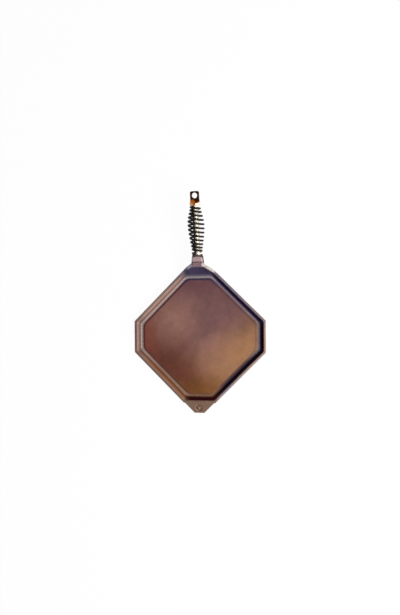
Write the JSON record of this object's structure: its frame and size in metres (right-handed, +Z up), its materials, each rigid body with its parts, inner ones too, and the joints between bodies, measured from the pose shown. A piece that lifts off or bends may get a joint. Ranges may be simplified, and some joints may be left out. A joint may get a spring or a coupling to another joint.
{
  "type": "griddle",
  "caption": "Square cast-iron griddle carried at one corner, with a raised cooking face, a gutter, a wound wire grip on a rising handle and a hanging lug.",
  "frame": {"origin": "middle of the flat underside, below the point where the square's diagonals cross", "axes": "+Y along the diagonal towards the handle, +Z up from the underside through the cooking face, +X to the right as seen from the foot tab"},
  "size_m": [0.304, 0.498, 0.0621],
  "materials": {
    "seasoned_iron": "seasoned, brown, satin",
    "rod_steel": "turned",
    "coil_steel": "drawn wire, darkened",
    "collar_steel": "turned",
    "lug_bronze": "cast bronze, darkened at its edges",
    "pin_steel": "plain"
  },
  "bodies": {
    "root": {"griddle_casting": "seasoned_iron", "handle_rod": "rod_steel", "rod_lock_pin": "pin_steel", "lower_collar": "collar_steel", "coil_grip": "coil_steel", "upper_seat": "collar_steel", "hanging_lug": "lug_bronze", "lug_lock_pin": "pin_steel"}
  },
  "joints": []
}
